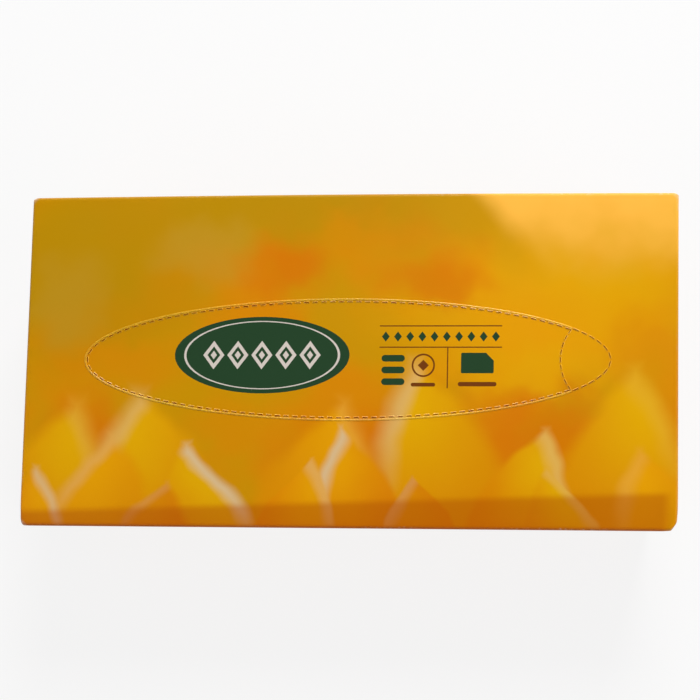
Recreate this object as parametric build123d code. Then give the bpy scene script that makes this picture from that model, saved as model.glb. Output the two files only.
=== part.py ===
from build123d import *

import os
from math import acos, atan2, copysign, degrees, radians, sin, tan

# A closed, unopened carton of facial tissues, lying on its large face. Millimetres.
# The origin is the middle of the base, +X runs along the carton towards the pull tab,
# +Y towards the rear wall with the glued seam, and +Z up.
# One folded and glued blank of board is sealed round the tissues, so the pack is one solid.

# The wrap: four panels folded round the tissues
carton_length = 226.0
carton_width = 115.0
carton_height = 60.0
board_thickness = 0.45
fold_radius = 1.0

# The glued seam: the rear wall's cut edge stands this far above the fold behind it
seam_gap = 0.2

# The front edge of the top panel, pressed down by handling, more so towards the tab
press_width_left = 5.0
press_width_right = 12.7
press_angle = 6.5
press_blend_radius = 35.0

# The end closures: dust flaps inside, then the base flap, then the top flap glued over it
base_flap_reach = 38.0
top_flap_reach = 38.0
flap_side_gap = 0.25
flap_taper = 1.4
flap_corner_radius = 3.0

# The tear-out oval in the top panel
oval_length = 181.8
oval_width = 41.4
oval_shift = -0.9

# The scored bead round the oval, up to the tab
bead_width = 0.45
bead_height = 0.1

# The perforation inside the bead, cut from below: each cut has a raised lip with a slit in it
perforation_inset = 0.8
cut_pitch = 3.04
cut_length = 2.0
lip_width = 0.55
lip_height = 0.12
slit_width = 0.16

# The pull tab at one tip of the oval, with longer cuts round its nose
tab_length = 13.0
tab_bow = 3.9
tab_cut_pitch = 2.7
nose_cut_length = 2.4

# Two front corners knocked in by handling, measured back along the three edges
right_knock = (2.6, 3.6, 13.0)
left_knock = (0.9, 2.2, 6.0)

# How far a cutting shape runs past what it cuts
overrun = 2.0

# Sizes that follow from those above
front = -carton_width / 2
rear = carton_width / 2
lap = rear - board_thickness
inner_length = carton_length - 2 * board_thickness
core_length = inner_length - 2 * board_thickness
press_depth = max(press_width_left, press_width_right) * tan(radians(press_angle))
oval_half_length = oval_length / 2
oval_half_width = oval_width / 2
tab_start = oval_half_length - tab_length


def pressed_away():
    """What the press takes off the top: it follows a crease that runs aslant the front edge."""
    crease_left = Vector(-carton_length / 2, front + press_width_left, carton_height)
    crease_right = Vector(carton_length / 2, front + press_width_right, carton_height)
    crease = crease_right - crease_left
    towards_front = crease.cross(Vector(0, 0, 1))
    across = Plane(origin=(crease_left + crease_right) / 2, x_dir=towards_front, z_dir=-crease)
    slope = [
        (-press_width_left, 0),
        (0, 0),
        (carton_width, -carton_width * tan(radians(press_angle))),
        (carton_width, overrun),
        (-press_width_left, overrun),
    ]
    radii = [0, press_blend_radius, 0, 0, 0]
    face = across * make_face(FilletPolyline(*slope, radius=radii, close=True))
    return extrude(face, amount=crease.length, both=True)


def wrap(length):
    """The folded tube at one length, with the seam at the foot of its rear wall."""
    seam_foot = fold_radius + seam_gap
    section = [
        (front, 0),
        (lap, 0),
        (lap, seam_foot),
        (rear, seam_foot),
        (rear, carton_height),
        (front, carton_height),
    ]
    face = Plane.YZ * make_face(Polyline(*section, close=True))
    tube = extrude(face, amount=length / 2, both=True) - pressed_away()
    corners = [(0, front, 0), (0, lap, 0), (0, rear, carton_height), (0, front, carton_height)]
    folds = [tube.edges().sort_by_distance(corner)[0] for corner in corners]
    return fillet(folds, fold_radius)


def end_edges(body):
    """The edges round both end faces."""
    return ShapeList(edge for end in body.faces().filter_by(Axis.X) for edge in end.edges())


def flap_pair(fold_height, free_height):
    """A bar along the carton with the flaps' shape: tapered, with a round-cornered free edge."""
    fold_half = lap - fold_radius - flap_side_gap
    free_half = fold_half - flap_taper
    past_fold = fold_height + copysign(overrun, fold_height - free_height)
    outline = [
        (-fold_half, past_fold),
        (-fold_half, fold_height),
        (-free_half, free_height),
        (free_half, free_height),
        (fold_half, fold_height),
        (fold_half, past_fold),
    ]
    radii = [0, 0, flap_corner_radius, flap_corner_radius, 0, 0]
    face = Plane.YZ * make_face(FilletPolyline(*outline, radius=radii, close=True))
    return extrude(face, amount=carton_length / 2 + overrun, both=True)


def dust_flap_layer():
    """The innermost layer: the walls are folded in as dust flaps, so all its end edges are folds."""
    layer = wrap(core_length)
    return fillet(end_edges(layer), fold_radius)


def base_flap_layer():
    """The base panel and the flaps that fold up from it, over the dust flaps."""
    layer = wrap(inner_length) & flap_pair(0, base_flap_reach)
    folds = end_edges(layer).filter_by_position(Axis.Z, -board_thickness, board_thickness)
    return fillet(folds, fold_radius)


def top_flap_layer():
    """The top panel and the flaps that fold down from it and are glued outermost."""
    layer = wrap(carton_length) & flap_pair(carton_height, carton_height - top_flap_reach)
    lowest = carton_height - press_depth
    folds = end_edges(layer).filter_by_position(Axis.Z, lowest, carton_height + overrun)
    return fillet(folds, fold_radius)


def knock_in(body, end, legs):
    """Flattens the front top corner at one end; legs go back along X, along Y and down."""
    along, across, down = legs
    corner = Vector(end * carton_length / 2, front, carton_height)
    on_front_edge = corner - Vector(end * along, 0, 0)
    on_end_edge = corner + Vector(0, across, 0)
    on_upright = corner - Vector(0, 0, down)
    outward = (on_end_edge - on_front_edge).cross(on_upright - on_front_edge) * -end
    return split(body, bisect_by=Plane(origin=on_front_edge, z_dir=outward), keep=Keep.BOTTOM)


def bead():
    """The scored bead: a low elliptical rail that ends where the pull tab starts."""
    half = bead_width / 2
    outer = Ellipse(oval_half_length + half, oval_half_width + half)
    inner = Ellipse(oval_half_length - half, oval_half_width - half)
    past_tab = Rectangle(carton_length, carton_width, align=(Align.MIN, Align.CENTER))
    rail = outer - inner - Pos(tab_start, 0) * past_tab
    return extrude(Pos(oval_shift, 0, carton_height - bead_height) * rail, amount=2 * bead_height)


def cuts_along(path, pitch, length):
    """Lips and slits spaced evenly along a path on the top panel, a whole number of them."""
    count = max(1, round(path.length / pitch))
    lip = Box(length, lip_width, 2 * lip_height)
    slit = Box(length - lip_width, slit_width, 2 * board_thickness)
    places = []
    for index in range(count):
        path_share = (index + 0.5) / count
        point = path @ path_share
        heading = path % path_share
        turn = degrees(atan2(heading.Y, heading.X))
        places.append(Pos(oval_shift + point.X, point.Y, carton_height) * Rot(0, 0, turn))
    return [place * lip for place in places], [place * slit for place in places]


def perforation():
    """Every cut of the tear-out oval: its long run, the tab's nose and the tab's inner curve."""
    run_length = oval_half_length - perforation_inset
    run_width = oval_half_width - perforation_inset
    run_angle = degrees(acos(tab_start / run_length))
    long_run = EllipticalCenterArc(
        (0, 0), run_length, run_width, start_angle=run_angle, arc_size=360 - 2 * run_angle
    )
    nose_angle = degrees(acos(tab_start / oval_half_length))
    nose = EllipticalCenterArc(
        (0, 0), oval_half_length, oval_half_width, start_angle=-nose_angle, arc_size=2 * nose_angle
    )
    tab_half = oval_half_width * sin(radians(nose_angle))
    inner_curve = ThreePointArc((tab_start, tab_half), (tab_start - tab_bow, 0), (tab_start, -tab_half))
    runs = [
        cuts_along(long_run, cut_pitch, cut_length),
        cuts_along(nose, cut_pitch, nose_cut_length),
        cuts_along(inner_curve, tab_cut_pitch, cut_length),
    ]
    lips = [lip for run in runs for lip in run[0]]
    slits = [slit for run in runs for slit in run[1]]
    return lips, slits


def tissue_carton():
    """The whole sealed pack."""
    body = dust_flap_layer() + [base_flap_layer(), top_flap_layer()]
    body = knock_in(body, 1, right_knock)
    body = knock_in(body, -1, left_knock)
    lips, slits = perforation()
    return body + [bead(), *lips] - slits


os.makedirs("parts", exist_ok=True)
export_step(tissue_carton(), "parts/tissue_carton.step")
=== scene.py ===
import math
from collections import namedtuple
from functools import partialmethod

import bmesh
import bpy
from mathutils import Euler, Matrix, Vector, noise


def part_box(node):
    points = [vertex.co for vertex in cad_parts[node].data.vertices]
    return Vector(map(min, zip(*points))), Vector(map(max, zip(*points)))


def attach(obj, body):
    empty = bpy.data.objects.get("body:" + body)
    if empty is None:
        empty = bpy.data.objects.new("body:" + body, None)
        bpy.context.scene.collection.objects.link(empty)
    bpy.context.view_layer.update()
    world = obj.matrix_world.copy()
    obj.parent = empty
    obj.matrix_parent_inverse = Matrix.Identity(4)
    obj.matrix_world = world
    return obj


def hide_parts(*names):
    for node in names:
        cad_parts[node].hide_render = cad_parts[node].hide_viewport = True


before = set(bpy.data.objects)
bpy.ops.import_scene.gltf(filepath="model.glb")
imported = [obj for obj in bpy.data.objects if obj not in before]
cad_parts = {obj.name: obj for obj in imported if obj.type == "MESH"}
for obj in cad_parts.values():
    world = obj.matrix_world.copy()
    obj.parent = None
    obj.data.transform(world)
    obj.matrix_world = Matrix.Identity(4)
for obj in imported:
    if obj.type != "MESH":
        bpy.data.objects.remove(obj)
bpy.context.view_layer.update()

# A closed carton of facial tissues on its large face. Metres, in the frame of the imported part:
# +X runs along the carton towards the pull tab, +Y towards the rear wall, +Z up.
MM = 0.001

# The raised work on the top panel. The first value is how high the lips stand in the CAD part.
# The others are larger than there, so that the work shows as it does in the photo
LIP_HEIGHT = 0.12 * MM
LIP_CREST = 0.19 * MM
LIP_WIDTH = 0.78 * MM
SLIT_WIDTH = 0.53 * MM
SLIT_CREST = 0.206 * MM
BEAD_WIDTH = 0.74 * MM
BEAD_CREST = 0.2 * MM

# The carton's outside, from the frame
carton_low, carton_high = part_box("tissue_carton")
HALF_LENGTH = carton_high.x
HALF_WIDTH = carton_high.y
HEIGHT = carton_high.z - LIP_HEIGHT

# The board and its folds. Each layer at the ends lies one board further out than the last
BOARD = 0.45 * MM
SHEET = 0.42 * MM
FOLD_RADIUS = 1.0 * MM
SEAM_GAP = 0.2 * MM
GLUE_TAB = 14.0 * MM
FOLD_TURN = FOLD_RADIUS * math.pi / 2
LAP = HALF_WIDTH - BOARD
DUST_HALF = HALF_LENGTH - 2 * BOARD
BASE_HALF = HALF_LENGTH - BOARD
ENDS_START = DUST_HALF - FOLD_RADIUS

# The flaps
FLAP_REACH = 38.0 * MM
FLAP_SIDE_GAP = 0.25 * MM
FLAP_TAPER = 1.4 * MM
FLAP_CORNER = 3.0 * MM
SLOT = LAP - FOLD_RADIUS - FLAP_SIDE_GAP

# The tear-out oval and its pull tab
OVAL_SHIFT = -0.9 * MM
OVAL_HALF_LENGTH = 90.9 * MM
OVAL_HALF_WIDTH = 20.7 * MM
PERFORATION_INSET = 0.8 * MM
CUT_PITCH = 3.04 * MM
CUT_LENGTH = 2.0 * MM
TAB_LENGTH = 13.0 * MM
TAB_BOW = 3.9 * MM
TAB_PITCH = 2.7 * MM
NOSE_CUT = 2.2 * MM
TAB_START = OVAL_HALF_LENGTH - TAB_LENGTH

# Handling: the pressed front edge, two knocked corners, and panels that the tissues push out
PRESS_WIDTH_LEFT = 5.0 * MM
PRESS_WIDTH_RIGHT = 12.7 * MM
PRESS_ANGLE = math.radians(6.5)
PRESS_BLEND_RADIUS = 35.0 * MM
PRESS_END_FADE = 4.0 * MM
PRESS_END_LIFT = 0.5
RIGHT_KNOCK = (2.6 * MM, 3.6 * MM, 13.0 * MM)
LEFT_KNOCK = (0.9 * MM, 2.2 * MM, 6.0 * MM)
KNOCK_SOFTNESS = 0.35 * MM
KNOCK_CRUMPLE = 0.35 * MM
KNOCK_SHARE = 0.93
KNOCK_SPREAD = 1.6 * MM
WRINKLE_LENGTH = 1.9 * MM
TOP_CROWN = 0.3 * MM
WALL_BOW = 0.5 * MM
END_BOW = 0.35 * MM
NEAR_WALL = 0.6 * HALF_WIDTH
NEAR_END = 0.85 * HALF_LENGTH
WAVINESS = 0.14 * MM
SWAY_LENGTHS = (52.0 * MM, 37.0 * MM, 60.0 * MM)
REAR_LAG = 0.45 * MM
RACK = 2.0 * MM

# The mesh: wide quads on the open panels, and small ones where handling shows
GRID = 3.0 * MM
FINE_GRID = 0.65 * MM
FINE_REACH = 15.0 * MM
FOLD_PARTS = 6
OVAL_PARTS = 360
NOSE_PARTS = 90
TAB_PARTS = 60
WELD = MM / 1000


# Handling

def ramp(value, start, end):
    """0 before start, 1 past end, smooth between."""
    share = min(1.0, max(0.0, (value - start) / (end - start)))
    return share * share * (3 - 2 * share)


def press_depth(x, y):
    """How far the front edge of the top panel was pressed down, past a crease aslant of it."""
    along = (x + HALF_LENGTH) / (2 * HALF_LENGTH)
    width = PRESS_WIDTH_LEFT + (PRESS_WIDTH_RIGHT - PRESS_WIDTH_LEFT) * along
    past_crease = -HALF_WIDTH + width - y
    blend = PRESS_BLEND_RADIUS * math.tan(PRESS_ANGLE / 2)
    if past_crease <= -blend:
        return 0.0
    if past_crease < blend:
        depth = (past_crease + blend) ** 2 / (2 * PRESS_BLEND_RADIUS)
    else:
        depth = past_crease * math.tan(PRESS_ANGLE)
    return depth * (1 - PRESS_END_LIFT * ramp(x, HALF_LENGTH - PRESS_END_FADE, HALF_LENGTH))


def bowed(point):
    """The panels with the tissues behind them: a crowned top, and walls and ends a little hollow."""
    x, y, z = point
    middle = (1 - (x / HALF_LENGTH) ** 2) * (1 - (y / HALF_WIDTH) ** 2)
    waves = Vector([place / length for place, length in zip(point, SWAY_LENGTHS)])
    sway = noise.noise(waves) * 0.5 + 0.5
    high = ramp(z, HEIGHT / 3, HEIGHT)
    drop = TOP_CROWN * (1 - max(0.0, middle)) + WAVINESS * sway + press_depth(x, y)
    belly = math.sin(math.pi * min(1.0, max(0.0, z / HEIGHT)))
    wall = WALL_BOW * (1 - (x / HALF_LENGTH) ** 2) * belly * (0.7 + 0.6 * sway)
    end = END_BOW * (1 - (y / HALF_WIDTH) ** 2) * belly * (0.6 + 0.8 * sway)
    near_wall = ramp(abs(y), NEAR_WALL, HALF_WIDTH)
    near_end = ramp(abs(x), NEAR_END, HALF_LENGTH)
    return Vector((
        x - math.copysign(max(0.0, end) * near_end, x),
        y - math.copysign(max(0.0, wall) * near_wall, y),
        z - drop * high,
    ))


def knocked(point, end, legs):
    """A point near a front top corner that was knocked in: pushed back to a slope, and crumpled."""
    along, across, down = legs
    inward = (HALF_LENGTH - end * point.x) / along + (point.y + HALF_WIDTH) / across
    inward += (HEIGHT - point.z) / down
    slope = Vector((end / along, -1 / across, 1 / down))
    past = (1 - inward) / slope.length
    push = (past + math.hypot(past, KNOCK_SOFTNESS)) / 2
    near = math.exp(-((past / KNOCK_SPREAD) ** 2))
    wrinkle = noise.noise(point / WRINKLE_LENGTH) * 0.5 + 0.5
    return point - slope.normalized() * (KNOCK_SHARE * push + KNOCK_CRUMPLE * wrinkle * near)


def racked(point):
    """The carton pushed a little out of square, with the rear wall's ends behind its middle."""
    lag = REAR_LAG * (point.x / HALF_LENGTH) ** 2 * ramp(point.y, NEAR_WALL, HALF_WIDTH)
    shift = RACK / 2 * (point.y / HALF_WIDTH - point.x / HALF_LENGTH)
    return Vector((point.x + shift, point.y - lag, point.z))


def handled(point):
    """Where handling has moved a point of the folded carton."""
    moved = bowed(point)
    moved = knocked(moved, 1, RIGHT_KNOCK)
    moved = knocked(moved, -1, LEFT_KNOCK)
    return racked(moved)


# The folded blank. A rib is one line of the blank that runs the carton's length: its place in
# section, which way is out, and how far across the blank it lies from the top panel's middle.
Rib = namedtuple("Rib", "place out across")


def stops(start, end, fine_at_start=False, fine_at_end=False):
    """Distances from start to end for the grid, closer together near a handled end."""
    breaks = [start, end]
    steps = [GRID]
    if fine_at_start:
        breaks.insert(1, start + FINE_REACH)
        steps.insert(0, FINE_GRID)
    if fine_at_end:
        breaks.insert(-1, end - FINE_REACH)
        steps.append(FINE_GRID)
    values = [start]
    for first, last, step in zip(breaks, breaks[1:], steps):
        count = max(1, math.ceil((last - first) / step))
        values += [first + (last - first) * index / count for index in range(1, count + 1)]
    return values


def flat_strip(start, end, out, **fine):
    """Places across a flat strip of the section, from start to end, with their distances."""
    start, end = Vector(start), Vector(end)
    length = (end - start).length
    return [
        (start.lerp(end, reach / length), Vector(out), reach) for reach in stops(0, length, **fine)
    ]


def fold_strip(centre, first_angle):
    """Places round a fold of the tube, a quarter turn clockwise, with their distances."""
    strip = []
    for index in range(FOLD_PARTS + 1):
        turned = math.radians(90) * index / FOLD_PARTS
        angle = math.radians(first_angle) - turned
        out = Vector((0, math.cos(angle), math.sin(angle)))
        strip.append((Vector(centre) + out * FOLD_RADIUS, out, FOLD_RADIUS * turned))
    return strip


def tube_strips():
    """The section from the glue tab round to the seam: (what its ends become, ribs) per strip."""
    front, rear, low, high = -HALF_WIDTH, HALF_WIDTH, FOLD_RADIUS, HEIGHT - FOLD_RADIUS
    front_in, rear_in, lap_in = front + FOLD_RADIUS, rear - FOLD_RADIUS, LAP - FOLD_RADIUS
    down, up, back, ahead = (0, 0, -1), (0, 0, 1), (0, 1, 0), (0, -1, 0)
    order = [
        ("cut", flat_strip((0, LAP, GLUE_TAB), (0, LAP, low), back)),
        ("corner", fold_strip((0, lap_in, low), 0)),
        ("corner", flat_strip((0, lap_in, 0), (0, SLOT, 0), down)),
        ("base flap", flat_strip((0, SLOT, 0), (0, -SLOT, 0), down)),
        ("corner", flat_strip((0, -SLOT, 0), (0, front_in, 0), down)),
        ("corner", fold_strip((0, front_in, low), -90)),
        ("dust flap", flat_strip((0, front, low), (0, front, high), ahead, fine_at_end=True)),
        ("corner", fold_strip((0, front_in, high), 180)),
        ("corner", flat_strip((0, front_in, HEIGHT), (0, -SLOT, HEIGHT), up)),
        ("top flap", flat_strip((0, -SLOT, HEIGHT), (0, SLOT, HEIGHT), up, fine_at_start=True)),
        ("corner", flat_strip((0, SLOT, HEIGHT), (0, rear_in, HEIGHT), up)),
        ("corner", fold_strip((0, rear_in, high), 90)),
        ("dust flap", flat_strip((0, rear, high), (0, rear, low + SEAM_GAP), back)),
    ]
    before_top = sum(strip[-1][2] for _, strip in order[:9])
    walked = -before_top - SLOT
    strips = []
    for ends, strip in order:
        strips.append((ends, [Rib(place, out, walked + reach) for place, out, reach in strip]))
        walked += strip[-1][2]
    return strips


def flap_half(depth):
    """Half the width of a base or top flap at this depth past its fold."""
    half = SLOT - FLAP_TAPER * depth / FLAP_REACH
    into_corner = max(0.0, depth - (FLAP_REACH - FLAP_CORNER))
    return half - FLAP_CORNER + math.sqrt(max(0.0, FLAP_CORNER ** 2 - into_corner ** 2))


def half_length(rib):
    """Half the carton's length at a rib. Each layer of flaps lies a board further out, and a
    corner grows from the dust flap's length at the wall to that of the flap on its other side."""
    outer = HALF_LENGTH if rib.out.z > 0 else BASE_HALF
    return DUST_HALF + (outer - DUST_HALF) * abs(rib.out.z)


def laid(rib, end, past_start, is_flap):
    """A point of the blank, folded: out along its rib, round the end fold and in over the end.
    Returns the place and the two distances on the flat blank."""
    straight = half_length(rib) - FOLD_RADIUS
    beyond = max(ENDS_START, straight + past_start)
    past = beyond - straight
    angle = min(math.pi / 2, max(0.0, past / FOLD_RADIUS))
    x = min(beyond, straight) + FOLD_RADIUS * math.sin(angle)
    depth = FOLD_RADIUS * (1 - math.cos(angle)) + max(0.0, past - FOLD_TURN)
    place = rib.place - rib.out * depth
    across = rib.across
    if is_flap:
        narrowed = place.y * flap_half(depth) / SLOT
        across += (narrowed - place.y) * rib.out.z
        place.y = narrowed
    return Vector((end * x, place.y, place.z)), (end * beyond, across)


def end_rows(kind):
    """How far past the start of the end fold each row of an end lies. The first row is where the
    straight part of the tube ends."""
    rows = [-math.inf] + [FOLD_TURN * index / FOLD_PARTS for index in range(FOLD_PARTS + 1)]
    if kind == "corner":
        return rows
    if kind == "dust flap":
        slot_depth = HALF_WIDTH - FOLD_RADIUS - SLOT
        return rows + [FOLD_TURN + reach for reach in stops(slot_depth, FLAP_REACH - FOLD_RADIUS)]
    flat = stops(0, FLAP_REACH - FOLD_RADIUS - FLAP_CORNER, fine_at_start=True)[1:]
    round_off = [
        flat[-1] + FLAP_CORNER * math.sin(math.radians(90) * index / FOLD_PARTS)
        for index in range(1, FOLD_PARTS + 1)
    ]
    return rows + [FOLD_TURN + reach for reach in flat + round_off]


def add_patch(sheet, blank, rows, ribs, lay, turned_over=False):
    """Quads between rows and ribs. lay gives a point's place and its distances on the blank."""
    grid = []
    for row in rows:
        line = []
        for rib in ribs:
            place, (along, across) = lay(rib, row)
            vertex = sheet.verts.new(handled(place))
            vertex[blank] = (along, across, 0)
            line.append(vertex)
        grid.append(line)
    for near, far in zip(grid, grid[1:]):
        for left in range(len(ribs) - 1):
            corners = [near[left], far[left], far[left + 1], near[left + 1]]
            sheet.faces.new(corners[::-1] if turned_over else corners)


def folded_sheet():
    """The printed face of the carton as one folded sheet, slit between its flaps."""
    sheet = bmesh.new()
    blank = sheet.verts.layers.float_vector.new("blank")
    lengthwise = stops(-ENDS_START, ENDS_START, fine_at_start=True, fine_at_end=True)
    for kind, ribs in tube_strips():
        add_patch(
            sheet, blank, lengthwise, ribs,
            lambda rib, x: (Vector((x, rib.place.y, rib.place.z)), (x, rib.across)),
        )
        if kind == "cut":
            continue
        is_flap = kind in ("base flap", "top flap")
        for end in (-1, 1):
            add_patch(
                sheet, blank, end_rows(kind), ribs,
                lambda rib, past_start: laid(rib, end, past_start, is_flap),
                turned_over=end < 0,
            )
    bmesh.ops.remove_doubles(sheet, verts=sheet.verts, dist=WELD)
    bmesh.ops.dissolve_degenerate(sheet, edges=sheet.edges, dist=WELD)
    dieline = sheet.loops.layers.uv.new("dieline")
    for face in sheet.faces:
        for loop in face.loops:
            loop[dieline].uv = loop.vert[blank].xy
    sheet.verts.layers.float_vector.remove(blank)
    mesh = bpy.data.meshes.new("folded sheet")
    sheet.to_mesh(mesh)
    sheet.free()
    return mesh


def link(name, data):
    """A new object in the scene for this mesh, lamp or camera."""
    piece = bpy.data.objects.new(name, data)
    bpy.context.scene.collection.objects.link(piece)
    return piece


def plain_mesh(piece, name):
    """The evaluated result of a piece's modifiers as a mesh of its own; the piece is removed."""
    evaluated = piece.evaluated_get(bpy.context.evaluated_depsgraph_get())
    mesh = bpy.data.meshes.new_from_object(evaluated)
    mesh.name = name
    bpy.data.objects.remove(piece)
    return mesh


def smooth(mesh, sharp_above):
    """Smooth shading, with the edges that turn by more than this many degrees kept sharp."""
    mesh.shade_smooth()
    mesh.set_sharp_from_angle(angle=math.radians(sharp_above))


def tissue_box(materials):
    """The carton: the folded sheet given its board thickness inwards, with bare inside and rims."""
    piece = link("tissue_box", folded_sheet())
    for material in materials:
        piece.data.materials.append(material)
    board = piece.modifiers.new("board", "SOLIDIFY")
    board.thickness = SHEET
    board.offset = -1
    board.use_rim = True
    board.material_offset = 1
    board.material_offset_rim = 2
    mesh = plain_mesh(piece, "tissue_box")
    smooth(mesh, sharp_above=40)
    return link("tissue_box", mesh)


# Wiring for materials and Geometry Nodes

class Wiring:
    """Adds nodes to one tree and joins them. A value is a number, a colour or a node's output."""

    def __init__(self, tree):
        self.nodes = tree.nodes
        self.links = tree.links

    def add(self, kind, inputs=None, **settings):
        node = self.nodes.new(kind)
        for name, value in settings.items():
            setattr(node, name, value)
        self.fill(node.inputs, inputs or {})
        return node

    def feed(self, socket, value):
        if isinstance(value, bpy.types.NodeSocket):
            self.links.new(value, socket)
        else:
            socket.default_value = value

    def fill(self, sockets, values):
        for key, value in values.items():
            self.feed(sockets[key], value)

    def first(self, kind):
        return next(node for node in self.nodes if node.type == kind)

    def value(self, kind, inputs=None, **settings):
        """The first output of a new node."""
        return self.add(kind, inputs, **settings).outputs[0]

    def math(self, operation, *values):
        return self.value("ShaderNodeMath", dict(enumerate(values)), operation=operation)

    # scaled is a value times a factor, plus an offset
    plus = partialmethod(math, "ADD")
    minus = partialmethod(math, "SUBTRACT")
    times = partialmethod(math, "MULTIPLY")
    over = partialmethod(math, "DIVIDE")
    scaled = partialmethod(math, "MULTIPLY_ADD")
    larger = partialmethod(math, "MAXIMUM")
    smaller = partialmethod(math, "MINIMUM")
    unsigned = partialmethod(math, "ABSOLUTE")

    def step(self, value, start, end):
        """0 before start, 1 past end, smooth between. Start may be the larger one."""
        inputs = {"Value": value, "From Min": start, "From Max": end}
        return self.value("ShaderNodeMapRange", inputs, interpolation_type="SMOOTHSTEP")

    def mix(self, share, under, over):
        return self.add("ShaderNodeMix", {0: share, 6: under, 7: over}, data_type="RGBA").outputs[2]

    def noise(self, place, scale, detail=2.0):
        inputs = {"Vector": place, "Scale": scale, "Detail": detail}
        return self.value("ShaderNodeTexNoise", inputs)

    def hypot(self, along, across):
        squares = [self.times(side, side) for side in (along, across)]
        return self.math("SQRT", self.plus(*squares))

    def in_halves(self, value, centre, half):
        """How far a value lies from a centre, counted in half sizes."""
        return self.over(self.minus(value, centre), half)

    def object_place(self):
        return self.add("ShaderNodeTexCoord").outputs["Object"]

    def blank_place(self):
        """The distances along and across the flat blank, from the piece's own map, in metres."""
        flat = self.value("ShaderNodeUVMap", uv_map="dieline")
        parts = self.add("ShaderNodeSeparateXYZ", {0: flat}).outputs
        return parts["X"], parts["Y"]


def ink(red, green, blue):
    """A print colour, given as it looks on a screen from 0 to 255, for a node's colour socket."""
    return tuple(
        (part / 255 / 12.92 if part <= 10 else ((part / 255 + 0.055) / 1.055) ** 2.4)
        for part in (red, green, blue)
    ) + (1.0,)


GOLD = ink(204, 146, 0)
OLIVE_GOLD = ink(186, 138, 0)
WARM_YELLOW = ink(234, 162, 0)
LEMON = ink(230, 172, 0)
AMBER = ink(218, 136, 0)
ORANGE = ink(216, 114, 0)
BURNT_ORANGE = ink(192, 92, 0)
PAINTED_SHEEN_ORANGE = ink(255, 188, 70)
PALE_YELLOW = ink(255, 222, 60)
STRAW = ink(192, 148, 40)
CREAM = ink(220, 190, 146)
LEAF_GREEN = ink(38, 68, 42)
SHELL = ink(214, 204, 194)
RUST = ink(116, 60, 16)
BOARD_WHITE = ink(226, 218, 202)
BOARD_GREY = ink(196, 188, 172)
SLIT_BROWN = ink(146, 32, 0)
SLIT_DEPTH = ink(96, 14, 0)
FLOOR_GREY = ink(226, 226, 226)
FLOOR_PALE = ink(230, 230, 230)


def new_group(name, inputs, output, kind="ShaderNodeTree"):
    """A node group with these inputs, as name: socket kind, and one output."""
    group = bpy.data.node_groups.new(name, kind)
    for label, socket_kind in inputs.items():
        group.interface.new_socket(label, in_out="INPUT", socket_type=socket_kind)
    group.interface.new_socket(output[0], in_out="OUTPUT", socket_type=output[1])
    wire = Wiring(group)
    source = wire.add("NodeGroupInput").outputs
    sink = wire.add("NodeGroupOutput").inputs
    return group, wire, source, sink


NUMBER, COLOUR = "NodeSocketFloat", "NodeSocketColor"
GEOMETRY, MATERIAL = "NodeSocketGeometry", "NodeSocketMaterial"

# The inputs of a printed shape: where it is asked for, and the shape's centre and half sizes. A
# blade has inputs of its own
PLACED = ["X", "Y", "Centre X", "Centre Y", "Half Length", "Half Width"]
BLADE = ["X", "Y", "Foot X", "Foot Y", "Rise", "Half Width", "Lean", "Blur", "Rim Side", "Rim"]

# How soft the edge of a printed mark is, in millimetres
EDGE_BLUR = 0.06

# Where a glow starts and where it is full, as shares of its half sizes
GLOW_SHARES = (1.15, 0.25)

# A blade's form and shading. A pair is where a change starts and where it is complete, as shares
# of the blade's rise, or of its half width for its shaded side and its rim
BLADE_SWELL = 1.6
BLADE_BEND = 3.0
TIP_SHARES = (0.48, 0.92)
SHADED_SHARES = (0.3, -0.9)
SHADED_DEPTH = 0.6
RIM_SHARES = (-0.42, -0.1)
RIM_RISE_SHARES = (0.6, 0.85)


def glow_group():
    """A soft round glow in the print, laid over what is under it."""
    sizes = dict.fromkeys([*PLACED, "Strength"], NUMBER)
    inputs = {"Under": COLOUR, "Colour": COLOUR} | sizes
    group, wire, source, sink = new_group("print glow", inputs, ("Over", COLOUR))
    along = wire.in_halves(source["X"], source["Centre X"], source["Half Length"])
    across = wire.in_halves(source["Y"], source["Centre Y"], source["Half Width"])
    fullness = wire.step(wire.hypot(along, across), *GLOW_SHARES)
    share = wire.times(fullness, source["Strength"])
    wire.feed(sink["Over"], wire.mix(share, source["Under"], source["Colour"]))
    return group


def blade_group():
    """A soft pointed blade in the print that leans as it rises, with a pale rim down one side."""
    inputs = {"Under": COLOUR, "Tip": COLOUR, "Foot": COLOUR} | dict.fromkeys(BLADE, NUMBER)
    group, wire, source, sink = new_group("print blade", inputs, ("Over", COLOUR))
    up = wire.minus(source["Y"], source["Foot Y"])
    risen = wire.over(up, source["Rise"])
    share = wire.smaller(wire.larger(risen, 0.0), 1.0)
    swell = wire.math("SINE", wire.times(wire.math("POWER", share, BLADE_SWELL), math.pi))
    half = wire.times(swell, source["Half Width"])
    bend = wire.times(source["Lean"], wire.math("POWER", share, BLADE_BEND))
    side = wire.minus(source["X"], wire.plus(source["Foot X"], bend))
    past_side = wire.minus(wire.unsigned(side), half)
    past_tip = wire.minus(up, source["Rise"])
    outside = wire.larger(past_side, past_tip)
    fill = wire.step(outside, source["Blur"], wire.times(source["Blur"], -1.0))
    body = wire.mix(wire.step(share, *TIP_SHARES), source["Foot"], source["Tip"])
    turned = wire.over(wire.times(side, source["Rim Side"]), source["Half Width"])
    shaded = wire.times(wire.step(turned, *SHADED_SHARES), SHADED_DEPTH)
    body = wire.mix(shaded, body, source["Foot"])
    at_rim = wire.step(wire.minus(turned, swell), *RIM_SHARES)
    rim = wire.times(at_rim, wire.step(share, *RIM_RISE_SHARES))
    body = wire.mix(wire.times(rim, source["Rim"]), body, CREAM)
    wire.feed(sink["Over"], wire.mix(fill, source["Under"], body))
    return group


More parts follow.
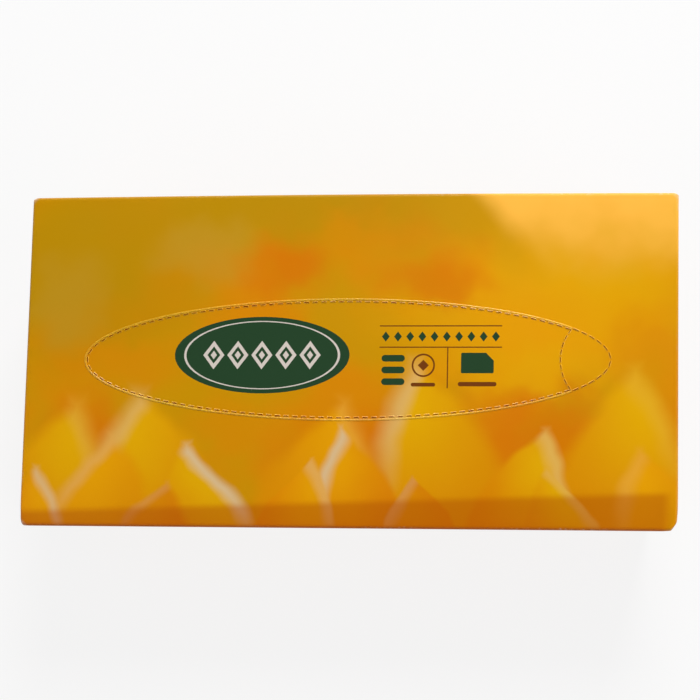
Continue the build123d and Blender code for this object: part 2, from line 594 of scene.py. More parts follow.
def bar_group():
    """The mask of a printed bar with round corners."""
    inputs = dict.fromkeys([*PLACED, "Round"], NUMBER)
    group, wire, source, sink = new_group("print bar", inputs, ("Mask", NUMBER))
    past = []
    for place, centre, half in (("X", "Centre X", "Half Length"), ("Y", "Centre Y", "Half Width")):
        away = wire.unsigned(wire.minus(source[place], source[centre]))
        flat = wire.minus(source[half], source["Round"])
        past.append(wire.minus(away, flat))
    past_corner = wire.hypot(*[wire.larger(part, 0.0) for part in past])
    inside = wire.smaller(wire.larger(*past), 0.0)
    reach = wire.plus(past_corner, inside)
    outside = wire.minus(reach, source["Round"])
    wire.feed(sink["Mask"], wire.step(outside, EDGE_BLUR, -EDGE_BLUR))
    return group


def lozenge_group():
    """The mask of a printed lozenge, or of its outline where a line width is given."""
    inputs = dict.fromkeys([*PLACED, "Line"], NUMBER)
    group, wire, source, sink = new_group("print lozenge", inputs, ("Mask", NUMBER))
    along = wire.unsigned(wire.minus(source["X"], source["Centre X"]))
    across = wire.unsigned(wire.minus(source["Y"], source["Centre Y"]))
    along_part = wire.times(along, source["Half Width"])
    across_part = wire.times(across, source["Half Length"])
    turned = wire.plus(along_part, across_part)
    product = wire.times(source["Half Length"], source["Half Width"])
    diagonal = wire.hypot(source["Half Length"], source["Half Width"])
    outside = wire.over(wire.minus(turned, product), diagonal)
    solid = wire.step(outside, EDGE_BLUR, -EDGE_BLUR)
    hollow = wire.step(wire.plus(outside, source["Line"]), EDGE_BLUR, -EDGE_BLUR)
    cored = wire.times(hollow, wire.math("GREATER_THAN", source["Line"], 0.0))
    wire.feed(sink["Mask"], wire.minus(solid, cored))
    return group


# The print, in millimetres on the flat blank. The top panel's middle is 0, 0, and the front wall
# lies below -57. (centre x, centre y, half length, half width, strength, colour)
# The olive glows at the left and the warm yellow ones at the right are print, and in part a painted
# lighting gradient: darker at the left, brighter at the right
GLOWS = [
    (-96, 34, 60, 46, 0.85, OLIVE_GOLD),
    (-26, 54, 76, 20, 0.80, OLIVE_GOLD),
    (70, 14, 70, 30, 0.80, WARM_YELLOW),
    (90, 36, 44, 24, 0.45, LEMON),
    (-50, 38, 22, 13, 0.55, STRAW),
    (-98, 20, 17, 20, 0.45, STRAW),
    (-22, 32, 18, 14, 0.80, ORANGE),
    (-2, 42, 16, 12, 0.55, AMBER),
    (30, 27, 24, 11, 0.65, ORANGE),
    (-74, -2, 24, 12, 0.60, AMBER),
    (104, 4, 20, 17, 0.60, AMBER),
    (64, -4, 30, 10, 0.45, LEMON),
    (-88, -30, 20, 20, 0.70, ORANGE),
    (-34, -24, 34, 12, 0.55, AMBER),
    (14, -34, 44, 20, 0.80, ORANGE),
    (72, -28, 34, 18, 0.75, ORANGE),
    (-70, -96, 90, 44, 0.80, ORANGE),
    (60, -100, 100, 42, 0.80, ORANGE),
    (0, 88, 240, 36, 0.70, OLIVE_GOLD),
    (-60, 92, 70, 30, 0.45, BURNT_ORANGE),
    (40, 88, 60, 26, 0.40, GOLD),
    (90, 100, 40, 24, 0.45, BURNT_ORANGE),
    (0, -173, 420, 64, 0.80, BURNT_ORANGE),
    (-60, -180, 90, 40, 0.40, AMBER),
    (70, -166, 80, 36, 0.40, ORANGE),
]

# (foot x, foot y, rise, half width, lean, blur, rim side, rim, tip, foot colour)
BLADES = [
    (-108, -118, 102, 19, 14, 5.5, 1, 0.10, LEMON, AMBER),
    (-64, -120, 108, 21, -8, 5.0, -1, 0.35, LEMON, AMBER),
    (-16, -119, 104, 19, 16, 5.0, 1, 0.10, WARM_YELLOW, AMBER),
    (36, -121, 120, 21, -12, 4.8, -1, 0.45, LEMON, AMBER),
    (92, -120, 116, 21, 6, 4.6, 1, 0.05, LEMON, AMBER),
    (-88, -119, 92, 18, 8, 3.4, -1, 0.25, WARM_YELLOW, AMBER),
    (-44, -118, 88, 17, -12, 2.6, 1, 0.95, LEMON, AMBER),
    (8, -120, 96, 16, -10, 1.9, -1, 0.90, WARM_YELLOW, ORANGE),
    (56, -118, 94, 17, 12, 2.2, 1, 0.30, LEMON, ORANGE),
    (112, -119, 88, 17, -12, 3.0, -1, 0.10, WARM_YELLOW, AMBER),
    (-112, -118, 80, 13, 5, 2.4, 1, 0.70, WARM_YELLOW, ORANGE),
    (-70, -118, 76, 15, 9, 1.9, -1, 0.15, AMBER, ORANGE),
    (-20, -117, 82, 14, 8, 1.1, 1, 0.30, WARM_YELLOW, ORANGE),
    (30, -117, 78, 14, -7, 0.9, -1, 0.20, AMBER, ORANGE),
    (78, -118, 80, 14, -9, 1.1, 1, 0.20, LEMON, ORANGE),
]

# The glows drift up to half of these from their places, in waves of two scales, and the blades
# drift a share of that. The ground's tone has waves of its own
DRIFT_ALONG = 26.0
DRIFT_ACROSS = 20.0
DRIFT_SCALES = (0.045, 0.062)
BLADE_DRIFT_SHARE = 0.3
GROUND_SCALE = 0.025

# Painted sheen at the rear right: the print paled behind a slanting line, standing in for a lamp's
# glare
SHEEN_START = 90.0
SHEEN_SLANT = 0.9
SHEEN_SOFTNESS = 12.0
SHEEN_DEPTH = 34.0
SHEEN_END = 3.0

# Painted shade along the pressed front edge: the print deepened to burnt orange past the crease. It
# is deepest at the fold, and fades out below the fold and at the right end. A pair says where a
# change starts and where it is complete
FRONT_SHADE = 0.55
FOLD_SHADE = 0.3
CREASE_BLUR = (-1.6, 1.6)
AT_FOLD = (-55.5, -57.5)
BELOW_FOLD = (-64.0, -58.0)
RIGHT_END = (112.0, 107.0)

# The green oval on the tear-out: its centre and half sizes. Its keyline is a share of them
OVAL_MARK = (-29.6, 1.5, 30.5, 13.2)
KEYLINE_PLACE = 0.88
KEYLINE_HALF = 0.013
SHARE_BLUR = 0.003

# The row of lozenges in it: (half length, half width, line width), once hollow and once solid
ORNAMENT_HALF = 21.0
ORNAMENT_PITCH = 8.4
ORNAMENT_LOZENGES = [(3.7, 4.9, 1.15), (1.1, 1.5, 0.0)]

# The small ruled panel beside it, with a dotted row between its two rules
PANEL_LEFT, PANEL_RIGHT = 11.2, 53.2
PANEL_TOP_RULE, PANEL_LOW_RULE = 11.5, 4.2
PANEL_DIVIDE, PANEL_FOOT = 34.7, -9.8
RULE_HALF = 0.2
SQUARE_CORNER = 0.01
DOT_ROW = 7.85
DOT_ROW_HALF = 2.5
DOT_PITCH = 4.2
DOT_HALF_LENGTH, DOT_HALF_WIDTH = 1.35, 1.75

# Its bars: (centre x, centre y, half length, half width, corner radius)
UNDERLINES = [(26.4, -8.6, 4.2, 0.65, 0.65), (44.9, -8.4, 6.6, 0.75, 0.75)]
GREEN_BARS = [(16.0, height, 4.0, 1.15, 1.15) for height in (0.4, -3.6, -7.6)]
RING_OUTSIDE = (26.4, -2.0, 4.0, 4.0, 4.0)
RING_INSIDE = (26.4, -2.0, 3.4, 3.4, 3.4)
SHEET_SIGN = (44.9, -1.2, 5.6, 3.5, 0.5)

# Its solid lozenges: (centre x, centre y, half length, half width, line width)
RING_CORE = (26.4, -2.0, 1.9, 1.9, 0.0)
SHEET_NOTCH = (50.5, 2.3, 2.7, 2.7, 0.0)


def tile(wire, group, **values):
    """One node of a print group with its inputs filled."""
    return wire.value("ShaderNodeGroup", values, node_tree=group)


def placed(wire, group, x, y, place, **values):
    """A node of a printed shape, with the shape's centre and half sizes given as its place."""
    return tile(wire, group, **dict(zip(PLACED, (x, y, *place))), **values)


def background_print(wire, x, y):
    """The soft picture: glows above, and leaning blades that rise from the front wall, with a
    painted sheen at the rear right and painted shade along the pressed front edge.
    """
    place = wire.value("ShaderNodeCombineXYZ", {"X": x, "Y": y})
    wave_x, wave_y = [wire.noise(place, scale) for scale in DRIFT_SCALES]
    drift_x = wire.scaled(wave_x, DRIFT_ALONG, -DRIFT_ALONG / 2)
    drift_y = wire.scaled(wave_y, DRIFT_ACROSS, -DRIFT_ACROSS / 2)
    glow_x = wire.plus(x, drift_x)
    glow_y = wire.plus(y, drift_y)
    soft_x = wire.scaled(drift_x, BLADE_DRIFT_SHARE, x)
    soft_y = wire.scaled(drift_y, BLADE_DRIFT_SHARE, y)
    warm = wire.step(wire.noise(place, GROUND_SCALE), 0.4, 0.65)
    colour = wire.mix(warm, GOLD, AMBER)
    glow, blade = glow_group(), blade_group()
    for *place, strength, tint in GLOWS:
        layer = {"Under": colour, "Colour": tint, "Strength": strength}
        colour = placed(wire, glow, glow_x, glow_y, place, **layer)
    for *sizes, tip, foot in BLADES:
        form = dict(zip(BLADE, (soft_x, soft_y, *sizes)))
        colour = tile(wire, blade, Under=colour, Tip=tip, Foot=foot, **form)
    # Painted sheen: pale orange laid over the print at the rear right
    colour = wire.mix(painted_rear_sheen(wire, soft_x, y, glow_y), colour, PAINTED_SHEEN_ORANGE)
    # Painted shade: burnt orange laid along the pressed front edge and its fold
    return wire.mix(painted_front_shade(wire, x, y), colour, BURNT_ORANGE)


def painted_rear_sheen(wire, x, y, soft_y):
    """How much painted sheen pales the print behind a slanting line at the rear, fading towards the
    middle.
    """
    rear = HALF_WIDTH / MM
    past_slant = wire.minus(wire.scaled(y, SHEEN_SLANT, x), SHEEN_START)
    near_rear = wire.step(soft_y, rear - SHEEN_DEPTH, rear)
    share = wire.times(wire.step(past_slant, 0.0, SHEEN_SOFTNESS), near_rear)
    return wire.times(share, wire.step(y, rear + SHEEN_END, rear))


def painted_front_shade(wire, x, y):
    """How much painted shade deepens the print past the crease along the pressed front edge."""
    along = wire.scaled(x, MM / (2 * HALF_LENGTH), 0.5)
    widening = (PRESS_WIDTH_RIGHT - PRESS_WIDTH_LEFT) / MM
    width = wire.scaled(along, widening, PRESS_WIDTH_LEFT / MM)
    past = wire.minus(wire.minus(width, HALF_WIDTH / MM), y)
    deep = wire.times(wire.step(past, *CREASE_BLUR), wire.step(y, *BELOW_FOLD))
    faded = wire.times(deep, wire.step(x, *RIGHT_END))
    tone = wire.scaled(wire.step(y, *AT_FOLD), FOLD_SHADE, FRONT_SHADE)
    return wire.times(faded, tone)


def oval_mark(wire, colour, x, y, lozenge):
    """The green oval with a pale keyline and a row of lozenges."""
    centre_x, centre_y, half_length, half_width = OVAL_MARK
    share_x = wire.in_halves(x, centre_x, half_length)
    share_y = wire.in_halves(y, centre_y, half_width)
    reach = wire.hypot(share_x, share_y)
    colour = wire.mix(wire.step(reach, 1 + SHARE_BLUR, 1 - SHARE_BLUR), colour, LEAF_GREEN)
    from_keyline = wire.unsigned(wire.minus(reach, KEYLINE_PLACE))
    keyline = wire.step(from_keyline, KEYLINE_HALF + SHARE_BLUR, KEYLINE_HALF - SHARE_BLUR)
    away_x = wire.minus(x, centre_x)
    away_y = wire.minus(y, centre_y)
    half_pitch = ORNAMENT_PITCH / 2
    cell = wire.math("PINGPONG", wire.plus(away_x, half_pitch), half_pitch)
    in_row = wire.math("LESS_THAN", wire.unsigned(away_x), ORNAMENT_HALF)
    masks = [
        placed(wire, lozenge, cell, away_y, (half_pitch, 0.0, along, across), Line=line)
        for along, across, line in ORNAMENT_LOZENGES
    ]
    row = wire.times(wire.larger(*masks), in_row)
    return wire.mix(wire.larger(keyline, row), colour, SHELL)


def ruled_panel(wire, colour, x, y, bar, lozenge):
    """The small panel beside the oval: rules, a dotted line, and three plain signs."""
    middle, half = (PANEL_LEFT + PANEL_RIGHT) / 2, (PANEL_RIGHT - PANEL_LEFT) / 2
    level, rise = (PANEL_LOW_RULE + PANEL_FOOT) / 2, (PANEL_LOW_RULE - PANEL_FOOT) / 2

    def drawn(group, *place_and_last):
        """One mark of the panel. Its last value is a bar's corner radius, or a lozenge's line."""
        *place, last = place_and_last
        return placed(wire, group, x, y, place, **{"Round" if group is bar else "Line": last})

    def together(marks):
        mask = marks[0]
        for mark in marks[1:]:
            mask = wire.larger(mask, mark)
        return mask

    rust_marks = [
        drawn(bar, middle, PANEL_TOP_RULE, half, RULE_HALF, SQUARE_CORNER),
        drawn(bar, middle, PANEL_LOW_RULE, half, RULE_HALF, SQUARE_CORNER),
        drawn(bar, PANEL_DIVIDE, level, RULE_HALF, rise, SQUARE_CORNER),
        wire.minus(drawn(bar, *RING_OUTSIDE), drawn(bar, *RING_INSIDE)),
        drawn(lozenge, *RING_CORE),
    ]
    rust_marks += [drawn(bar, *underline) for underline in UNDERLINES]
    green_marks = [drawn(bar, *green_bar) for green_bar in GREEN_BARS]
    kept = wire.minus(1.0, drawn(lozenge, *SHEET_NOTCH))
    green_marks.append(wire.times(drawn(bar, *SHEET_SIGN), kept))
    cell = wire.math("PINGPONG", wire.minus(x, PANEL_LEFT), DOT_PITCH / 2)
    dot = (DOT_PITCH / 2, DOT_ROW, DOT_HALF_LENGTH, DOT_HALF_WIDTH)
    dots = placed(wire, lozenge, cell, y, dot, Line=0.0)
    in_row = drawn(bar, middle, DOT_ROW, half, DOT_ROW_HALF, SQUARE_CORNER)
    green_marks.append(wire.times(dots, in_row))
    colour = wire.mix(together(rust_marks), colour, RUST)
    return wire.mix(together(green_marks), colour, LEAF_GREEN)


def print_group():
    """The whole print, with its painted sheen and painted shade, read from the blank's own map. One
    output: its colour.
    """
    group, wire, _, sink = new_group("carton print", {}, ("Colour", COLOUR))
    x, y = [wire.over(distance, MM) for distance in wire.blank_place()]
    lozenge, bar = lozenge_group(), bar_group()
    colour = background_print(wire, x, y)
    colour = oval_mark(wire, colour, x, y, lozenge)
    colour = ruled_panel(wire, colour, x, y, bar, lozenge)
    wire.feed(sink["Colour"], colour)
    return group


# The finishes. A scale is how many waves a noise has in a metre, and a pair says how far from a
# fold or a corner the wear starts and where it is full
RUB_SCALE = 45.0
PATCH_SCALE = 60.0
FLECK_SCALE = 700.0
OPENED_SCALE = 1500.0
GRAIN_SCALE = 1900.0
FIBRE_SCALE = 2400.0
BARE_GRAIN_SCALE = 2600.0
GRAIN_DEPTH = 0.04 * MM
BARE_GRAIN_DEPTH = 0.05 * MM
FOLD_RUB = (0.9 * MM, 0.1 * MM)
CORNER_RUB = (3.0 * MM, 0.6 * MM)


def new_material(name):
    """An empty material with its shader: returns it, its wiring and the shader's inputs."""
    material = bpy.data.materials.new(name)
    material.use_nodes = True
    wire = Wiring(material.node_tree)
    return material, wire, wire.first("BSDF_PRINCIPLED").inputs


def board_grain(wire, scale, strength, distance):
    """The board's fine grain as a bump, from the piece's own place."""
    grain = wire.noise(wire.object_place(), scale, 3.0)
    inputs = {"Strength": strength, "Distance": distance, "Height": grain}
    return wire.value("ShaderNodeBump", inputs)


def fold_wear(wire):
    """Where the coating has worn pale: faintly along the folds of the blank, more at corners."""
    along, across = [wire.unsigned(distance) for distance in wire.blank_place()]
    top_fold = HALF_WIDTH - FOLD_RADIUS + FOLD_TURN / 2
    end_fold = HALF_LENGTH - FOLD_RADIUS + FOLD_TURN / 2
    from_top_fold = wire.unsigned(wire.minus(across, top_fold))
    from_end_fold = wire.unsigned(wire.minus(along, end_fold))
    line = wire.step(wire.smaller(from_top_fold, from_end_fold), *FOLD_RUB)
    corner = wire.step(wire.plus(from_top_fold, from_end_fold), *CORNER_RUB)
    place = wire.object_place()
    rubbed = wire.step(wire.noise(place, RUB_SCALE), 0.5, 0.68)
    flecks = wire.step(wire.noise(place, FLECK_SCALE, 3.0), 0.5, 0.72)
    worn = wire.scaled(wire.times(rubbed, flecks), 0.35, 0.03)
    corner_worn = wire.times(corner, wire.scaled(flecks, 0.5, 0.3))
    return wire.larger(wire.times(line, worn), corner_worn)


def printed_board(print_and_painted_light):
    """The outside of the board: print with its painted sheen and shade under a semi-gloss varnish,
    whitened where it was folded.
    """
    material, wire, shader = new_material("printed_board")
    colour = tile(wire, print_and_painted_light)
    patchy = wire.noise(wire.object_place(), PATCH_SCALE, 3.0)
    wire.fill(shader, {
        "Base Color": wire.mix(fold_wear(wire), colour, BOARD_WHITE),
        "Roughness": wire.scaled(patchy, 0.16, 0.34),
        "Normal": board_grain(wire, GRAIN_SCALE, 0.12, GRAIN_DEPTH),
        "IOR": 1.45,
        "Specular IOR Level": 0.12,
    })
    return material


def bare_board():
    """The unprinted inside of the board."""
    material, wire, shader = new_material("bare_board")
    mottle = wire.noise(wire.object_place(), FLECK_SCALE, 4.0)
    wire.fill(shader, {
        "Base Color": wire.mix(mottle, BOARD_GREY, BOARD_WHITE),
        "Roughness": 0.85,
        "Normal": board_grain(wire, BARE_GRAIN_SCALE, 0.3, BARE_GRAIN_DEPTH),
    })
    return material


def cut_edge():
    """The die-cut edge of the board: pale fibre between two coatings."""
    material, wire, shader = new_material("cut_edge")
    fibre = wire.step(wire.noise(wire.object_place(), FIBRE_SCALE, 3.0), 0.35, 0.65)
    wire.fill(shader, {"Base Color": wire.mix(fibre, BOARD_GREY, BOARD_WHITE), "Roughness": 0.9})
    return material


def raised_print(print_and_painted_light):
    """Print over the raised lips and the bead, paled a little in flecks: partly coating opened by
    stretching, partly a painted highlight.
    """
    material, wire, shader = new_material("raised_print")
    flecks = wire.step(wire.noise(wire.object_place(), OPENED_SCALE), 0.2, 0.8)
    # Pale yellow in flecks over the raised work: opened coating and a painted highlight
    opened_and_highlight = wire.times(flecks, 0.4)
    wire.fill(shader, {
        "Base Color": wire.mix(opened_and_highlight, tile(wire, print_and_painted_light), PALE_YELLOW),
        "Roughness": 0.34,
        "Specular IOR Level": 0.45,
        "Normal": board_grain(wire, GRAIN_SCALE, 0.2, GRAIN_DEPTH),
    })
    return material


def slit_shade():
    """Painted shade for the open slit of a cut: a dark brown strip on each lip's crest."""
    material, wire, shader = new_material("slit_shade")
    mottle = wire.noise(wire.object_place(), OPENED_SCALE)
    colour = wire.mix(mottle, SLIT_DEPTH, SLIT_BROWN)
    wire.fill(shader, {"Base Color": colour, "Roughness": 0.95, "Specular IOR Level": 0.0})
    return material


# The raised work of the tear-out, by Geometry Nodes. A stroke's ends are slimmer than its middle
# by this share, and most of that comes near its ends
STROKE_TAPER_SHARE = 0.85
TAPER_POWER = 2.5
STROKE_POINTS = 6
STROKE_SIDES = 8
BEAD_SIDES = 10


def new_tree(name, sizes):
    """A Geometry Nodes tree with a path to follow, named sizes and a material."""
    inputs = {"Path": GEOMETRY} | dict.fromkeys(sizes, NUMBER) | {"Finish": MATERIAL}
    return new_group(name, inputs, ("Result", GEOMETRY), "GeometryNodeTree")


def round_section(wire, width, height, sides):
    """An oval section as wide as width, and as high as height above its middle."""
    circle = wire.add("GeometryNodeCurvePrimitiveCircle", {"Resolution": sides, "Radius": 1.0})
    half = wire.times(width, 0.5)
    scale = wire.value("ShaderNodeCombineXYZ", {"X": half, "Y": height, "Z": 1.0})
    inputs = {"Geometry": circle.outputs["Curve"], "Scale": scale}
    return wire.value("GeometryNodeTransform", inputs)


def swept(wire, path, section):
    """A section swept along a path, closed at both ends."""
    inputs = {"Curve": path, "Profile Curve": section, "Fill Caps": True}
    return wire.value("GeometryNodeCurveToMesh", inputs)


def finish_tree(wire, source, sink, shape):
    """The end of each tree: its shape made real, with the material that was given."""
    real = wire.value("GeometryNodeRealizeInstances", {0: shape})
    inputs = {"Geometry": real, "Material": source["Finish"]}
    wire.feed(sink["Result"], wire.value("GeometryNodeSetMaterial", inputs))


def stroke_tree():
    """Short raised strokes spaced along a path, slimmer towards their ends."""
    sizes = ["Cut Pitch", "Cut Length", "Stroke Width", "Stroke Height"]
    tree, wire, source, sink = new_tree("cut strokes", sizes)
    path = wire.value("GeometryNodeMeshToCurve", {0: source["Path"]})
    length = wire.value("GeometryNodeCurveLength", {0: path})
    fitting = wire.math("ROUND", wire.over(length, source["Cut Pitch"]))
    count = wire.larger(fitting, 1.0)
    margin = wire.over(0.5, count)
    ends = {"Curve": path, "Start": margin, "End": wire.minus(1.0, margin)}
    middle = wire.value("GeometryNodeTrimCurve", ends, mode="FACTOR")
    spots = wire.value("GeometryNodeResampleCurve", {"Curve": middle, "Count": count})

    half = wire.times(source["Cut Length"], 0.5)
    start = wire.value("ShaderNodeCombineXYZ", {"X": wire.times(half, -1.0)})
    end = wire.value("ShaderNodeCombineXYZ", {"X": half})
    line = wire.value("GeometryNodeCurvePrimitiveLine", {"Start": start, "End": end})
    line = wire.value("GeometryNodeResampleCurve", {"Curve": line, "Count": STROKE_POINTS})
    factor = wire.add("GeometryNodeSplineParameter").outputs["Factor"]
    from_middle = wire.unsigned(wire.scaled(factor, 2.0, -1.0))
    taper = wire.times(wire.math("POWER", from_middle, TAPER_POWER), STROKE_TAPER_SHARE)
    radius = wire.minus(1.0, taper)
    line = wire.value("GeometryNodeSetCurveRadius", {"Curve": line, "Radius": radius})
    width, height = source["Stroke Width"], source["Stroke Height"]
    stroke = swept(wire, line, round_section(wire, width, height, STROKE_SIDES))

    tangent = wire.value("GeometryNodeInputTangent")
    ahead = {"Vector": tangent}
    turn = wire.value("FunctionNodeAlignRotationToVector", ahead, axis="X", pivot_axis="Z")
    inputs = {"Points": spots, "Instance": stroke, "Rotation": turn}
    strokes = wire.value("GeometryNodeInstanceOnPoints", inputs)
    finish_tree(wire, source, sink, strokes)
    return tree


def bead_tree():
    """A low rounded bead along a path, closed at both ends."""
    tree, wire, source, sink = new_tree("scored bead", ["Bead Width", "Bead Height"])
    path = wire.value("GeometryNodeMeshToCurve", {0: source["Path"]})
    width, height = source["Bead Width"], source["Bead Height"]
    bead = swept(wire, path, round_section(wire, width, height, BEAD_SIDES))
    finish_tree(wire, source, sink, bead)
    return tree


def path_mesh(points):
    """A line of edges through these places on the top panel."""
    mesh = bpy.data.meshes.new("path")
    edges = [(index, index + 1) for index in range(len(points) - 1)]
    mesh.from_pydata([(x, y, HEIGHT) for x, y in points], edges, [])
    return mesh


def run_along(path, tree, **sizes):
    """What a tree makes along a path, as a plain mesh. Each size is given by its input's name."""
    carrier = link("carrier", path_mesh(path))
    modifier = carrier.modifiers.new("work", "NODES")
    modifier.node_group = tree
    inputs = [item for item in tree.interface.items_tree if item.in_out == "INPUT"]
    sockets = {item.name: item.identifier for item in inputs}
    for label, value in sizes.items():
        modifier[sockets[label.replace("_", " ")]] = value
    return plain_mesh(carrier, "work")


def oval_arc(half_length, half_width, first, last, parts=OVAL_PARTS):
    """Places along an arc of the oval, between two angles of its formula."""
    angles = [first + (last - first) * index / parts for index in range(parts + 1)]
    return [
        (OVAL_SHIFT + half_length * math.cos(angle), half_width * math.sin(angle))
        for angle in angles
    ]


def long_run():
    """The perforation's long run, just inside the bead and open at the tab."""
    half_length = OVAL_HALF_LENGTH - PERFORATION_INSET
    start = math.acos(TAB_START / half_length)
    return oval_arc(half_length, OVAL_HALF_WIDTH - PERFORATION_INSET, start, 2 * math.pi - start)


def tab_angle():
    """The angle of the oval's formula where the pull tab starts."""
    return math.acos(TAB_START / OVAL_HALF_LENGTH)


def nose_run():
    """The cuts round the pull tab's nose, on the oval's own line."""
    return oval_arc(OVAL_HALF_LENGTH, OVAL_HALF_WIDTH, -tab_angle(), tab_angle(), NOSE_PARTS)


def tab_curve():
    """The inner curve of the pull tab: an arc of a circle, bowed away from the nose."""
    half = OVAL_HALF_WIDTH * math.sin(tab_angle())
    radius = (half ** 2 + TAB_BOW ** 2) / (2 * TAB_BOW)
    centre = OVAL_SHIFT + TAB_START - TAB_BOW + radius
    sweep = math.asin(half / radius)
    turns = [sweep * (2 * index / TAB_PARTS - 1) for index in range(TAB_PARTS + 1)]
    return [(centre - radius * math.cos(turn), radius * math.sin(turn)) for turn in turns]


def joined(meshes):
    """These meshes as one bmesh with outward faces."""
    whole = bmesh.new()
    for mesh in meshes:
        whole.from_mesh(mesh)
        bpy.data.meshes.remove(mesh)
    bmesh.ops.recalc_face_normals(whole, faces=whole.faces)
    return whole


def laid_on_panel(name, meshes, finish):
    """A piece on the top panel: its print map from its flat place, then moved as the panel was."""
    whole = joined(meshes)
    dieline = whole.loops.layers.uv.new("dieline")
    for face in whole.faces:
        face.material_index = 0
        for loop in face.loops:
            loop[dieline].uv = loop.vert.co.xy
    for vertex in whole.verts:
        vertex.co = handled(vertex.co)
    mesh = bpy.data.meshes.new(name)
    whole.to_mesh(mesh)
    whole.free()
    mesh.materials.clear()
    mesh.materials.append(finish)
    smooth(mesh, sharp_above=60)
    return link(name, mesh)


def perforation(name, tree, shorter, width, crest, finish):
    """One stroke for every cut of the tear-out, this much shorter than the cut."""
    runs = [
        (long_run(), CUT_PITCH, CUT_LENGTH),
        (nose_run(), CUT_PITCH, NOSE_CUT),
        (tab_curve(), TAB_PITCH, CUT_LENGTH),
    ]
    strokes = [
        run_along(
            path, tree, Cut_Pitch=pitch, Cut_Length=length - shorter, Stroke_Width=width,
            Stroke_Height=crest, Finish=finish,
        )
        for path, pitch, length in runs
    ]
    return laid_on_panel(name, strokes, finish)


def score_bead(raised):
    """The scored bead round the oval, from one side of the tab round to the other."""
    arc = oval_arc(OVAL_HALF_LENGTH, OVAL_HALF_WIDTH, tab_angle(), 2 * math.pi - tab_angle())
    mesh = run_along(arc, bead_tree(), Bead_Width=BEAD_WIDTH, Bead_Height=BEAD_CREST, Finish=raised)
    return laid_on_panel("score_bead", [mesh], raised)


# The stage: a pale floor, a studio round it, three lamps and the camera. The floor turns white
# between two distances from the carton, and is this white beside it. The studio's light has one
# strength at the horizon and another overhead
FLOOR_HALF = 6.0
FLOOR_DROP = 0.02 * MM
FLOOR_WHITE = 0.85
FLOOR_FADE = (0.3, 1.3)
HORIZON = 0.78
OVERHEAD = 0.08

# (name, azimuth, elevation, distance, size, share of a plain level)
LAMPS = [
    ("key", 168, 40, 1.1, 0.4, 0.6),
    ("right_fill", 75, 28, 1.3, 0.9, 0.13),
    ("left_fill", -60, 42, 1.3, 0.9, 0.08),
]

# The camera's place in metres, its turns in degrees, and its lens and sensor in millimetres
CAMERA_PLACE = (32.4 * MM, -35.9 * MM, 510.0 * MM)
CAMERA_TURNS = (4.981, 3.953, 0.339)
CAMERA_LENS = 68.04
CAMERA_SENSOR = 36.0


def floor_finish():
    """A matt pale floor that is nearly white to look at, and keeps a faint shadow."""
    material, wire, shader = new_material("floor")
    place = wire.object_place()
    colour = wire.mix(wire.noise(place, 2.0), FLOOR_GREY, FLOOR_PALE)
    wire.fill(shader, {"Base Color": colour, "Roughness": 0.9, "Specular IOR Level": 0.0})
    rays = wire.add("ShaderNodeLightPath").outputs
    seen = wire.larger(rays["Is Camera Ray"], rays["Is Glossy Ray"])
    seen = wire.larger(seen, rays["Is Transmission Ray"])
    away = wire.add("ShaderNodeVectorMath", {0: place}, operation="LENGTH").outputs["Value"]
    fade = wire.step(away, *FLOOR_FADE)
    whiteness = wire.scaled(fade, 1.0 - FLOOR_WHITE, FLOOR_WHITE)
    share = wire.times(seen, whiteness)
    white = wire.value("ShaderNodeEmission", {"Strength": 1.0})
    surface = wire.first("OUTPUT_MATERIAL").inputs["Surface"]
    shaded = surface.links[0].from_socket
    wire.feed(surface, wire.value("ShaderNodeMixShader", {0: share, 1: shaded, 2: white}))
    return material


def floor():
    """A wide floor under the carton."""
    mesh = bpy.data.meshes.new("floor")
    signs = [(-1, -1), (1, -1), (1, 1), (-1, 1)]
    corners = [(FLOOR_HALF * along, FLOOR_HALF * across, 0) for along, across in signs]
    mesh.from_pydata(corners, [], [(0, 1, 2, 3)])
    mesh.materials.append(floor_finish())
    piece = link("floor", mesh)
    piece.location.z = -FLOOR_DROP


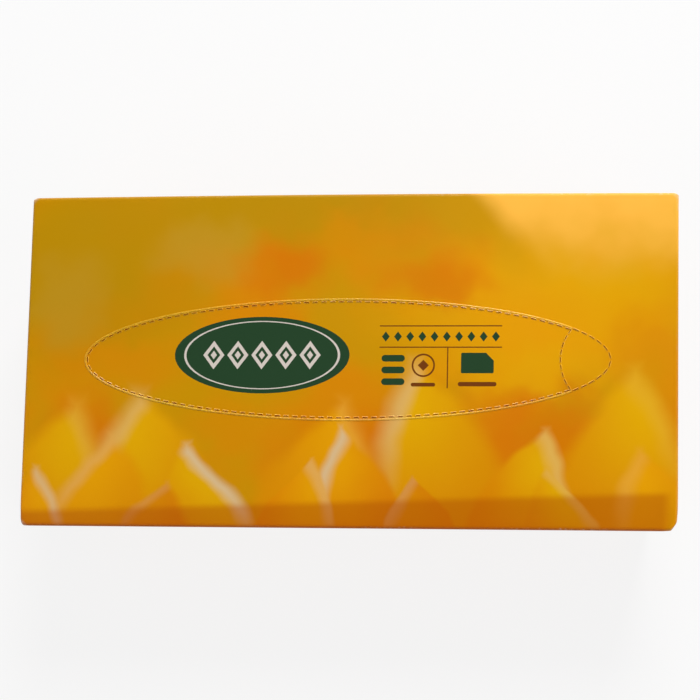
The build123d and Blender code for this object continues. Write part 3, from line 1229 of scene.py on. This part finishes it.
def studio():
    """Light from all round: pale near the horizon and dimmer overhead, as under a ceiling. The
    camera sees it white."""
    world = bpy.data.worlds.new("studio")
    world.use_nodes = True
    wire = Wiring(world.node_tree)
    direction = wire.add("ShaderNodeTexCoord").outputs["Generated"]
    height = wire.add("ShaderNodeSeparateXYZ", {0: direction}).outputs["Z"]
    level = wire.scaled(wire.step(height, 0.2, 0.6), OVERHEAD - HORIZON, HORIZON)
    seen = wire.add("ShaderNodeLightPath").outputs["Is Camera Ray"]
    level = wire.larger(level, seen)
    tone = wire.value("ShaderNodeCombineColor", {0: level, 1: level, 2: level})
    wire.fill(wire.first("BACKGROUND").inputs, {"Color": tone, "Strength": 1.0})
    bpy.context.scene.world = world


def lamp(name, azimuth, elevation, distance, size, share):
    """A square soft lamp aimed at the carton. Share is the part of a plain level that it gives
    to a level surface; azimuth 0 stands in front of the carton and 90 to its right."""
    turned, raised = math.radians(azimuth), math.radians(elevation)
    level = math.cos(raised)
    away = Vector((math.sin(turned) * level, -math.cos(turned) * level, math.sin(raised)))
    light = bpy.data.lights.new(name, "AREA")
    light.size = size
    light.energy = share * (math.pi * distance) ** 2 / math.sin(raised)
    holder = link(name, light)
    holder.location = away * distance + Vector((0, 0, HEIGHT))
    holder.rotation_euler = away.to_track_quat("Z", "Y").to_euler()


def photo_camera():
    """The camera above the carton, a little in front of its middle and to its right."""
    lens = bpy.data.cameras.new("camera")
    lens.lens = CAMERA_LENS
    lens.sensor_width = CAMERA_SENSOR
    lens.clip_start = 0.01
    holder = link("camera", lens)
    holder.location = CAMERA_PLACE
    holder.rotation_euler = Euler([math.radians(turn) for turn in CAMERA_TURNS])
    bpy.context.scene.camera = holder


# The carton, dressed
print_and_painted_light = print_group()
raised = raised_print(print_and_painted_light)
box = tissue_box([printed_board(print_and_painted_light), bare_board(), cut_edge()])
strokes = stroke_tree()
lips = perforation("perforation_lips", strokes, 0.0, LIP_WIDTH, LIP_CREST, raised)
# The slits: dark strips on the lips' crests, painted shade for the open cuts
slits = perforation(
    "perforation_slits", strokes, LIP_WIDTH / 2, SLIT_WIDTH, SLIT_CREST, slit_shade()
)
bead = score_bead(raised)
for piece in (box, lips, slits, bead):
    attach(piece, "root")
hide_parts("tissue_carton")

floor()
studio()
for settings in LAMPS:
    lamp(*settings)
photo_camera()
bpy.context.scene.view_settings.view_transform = "Standard"
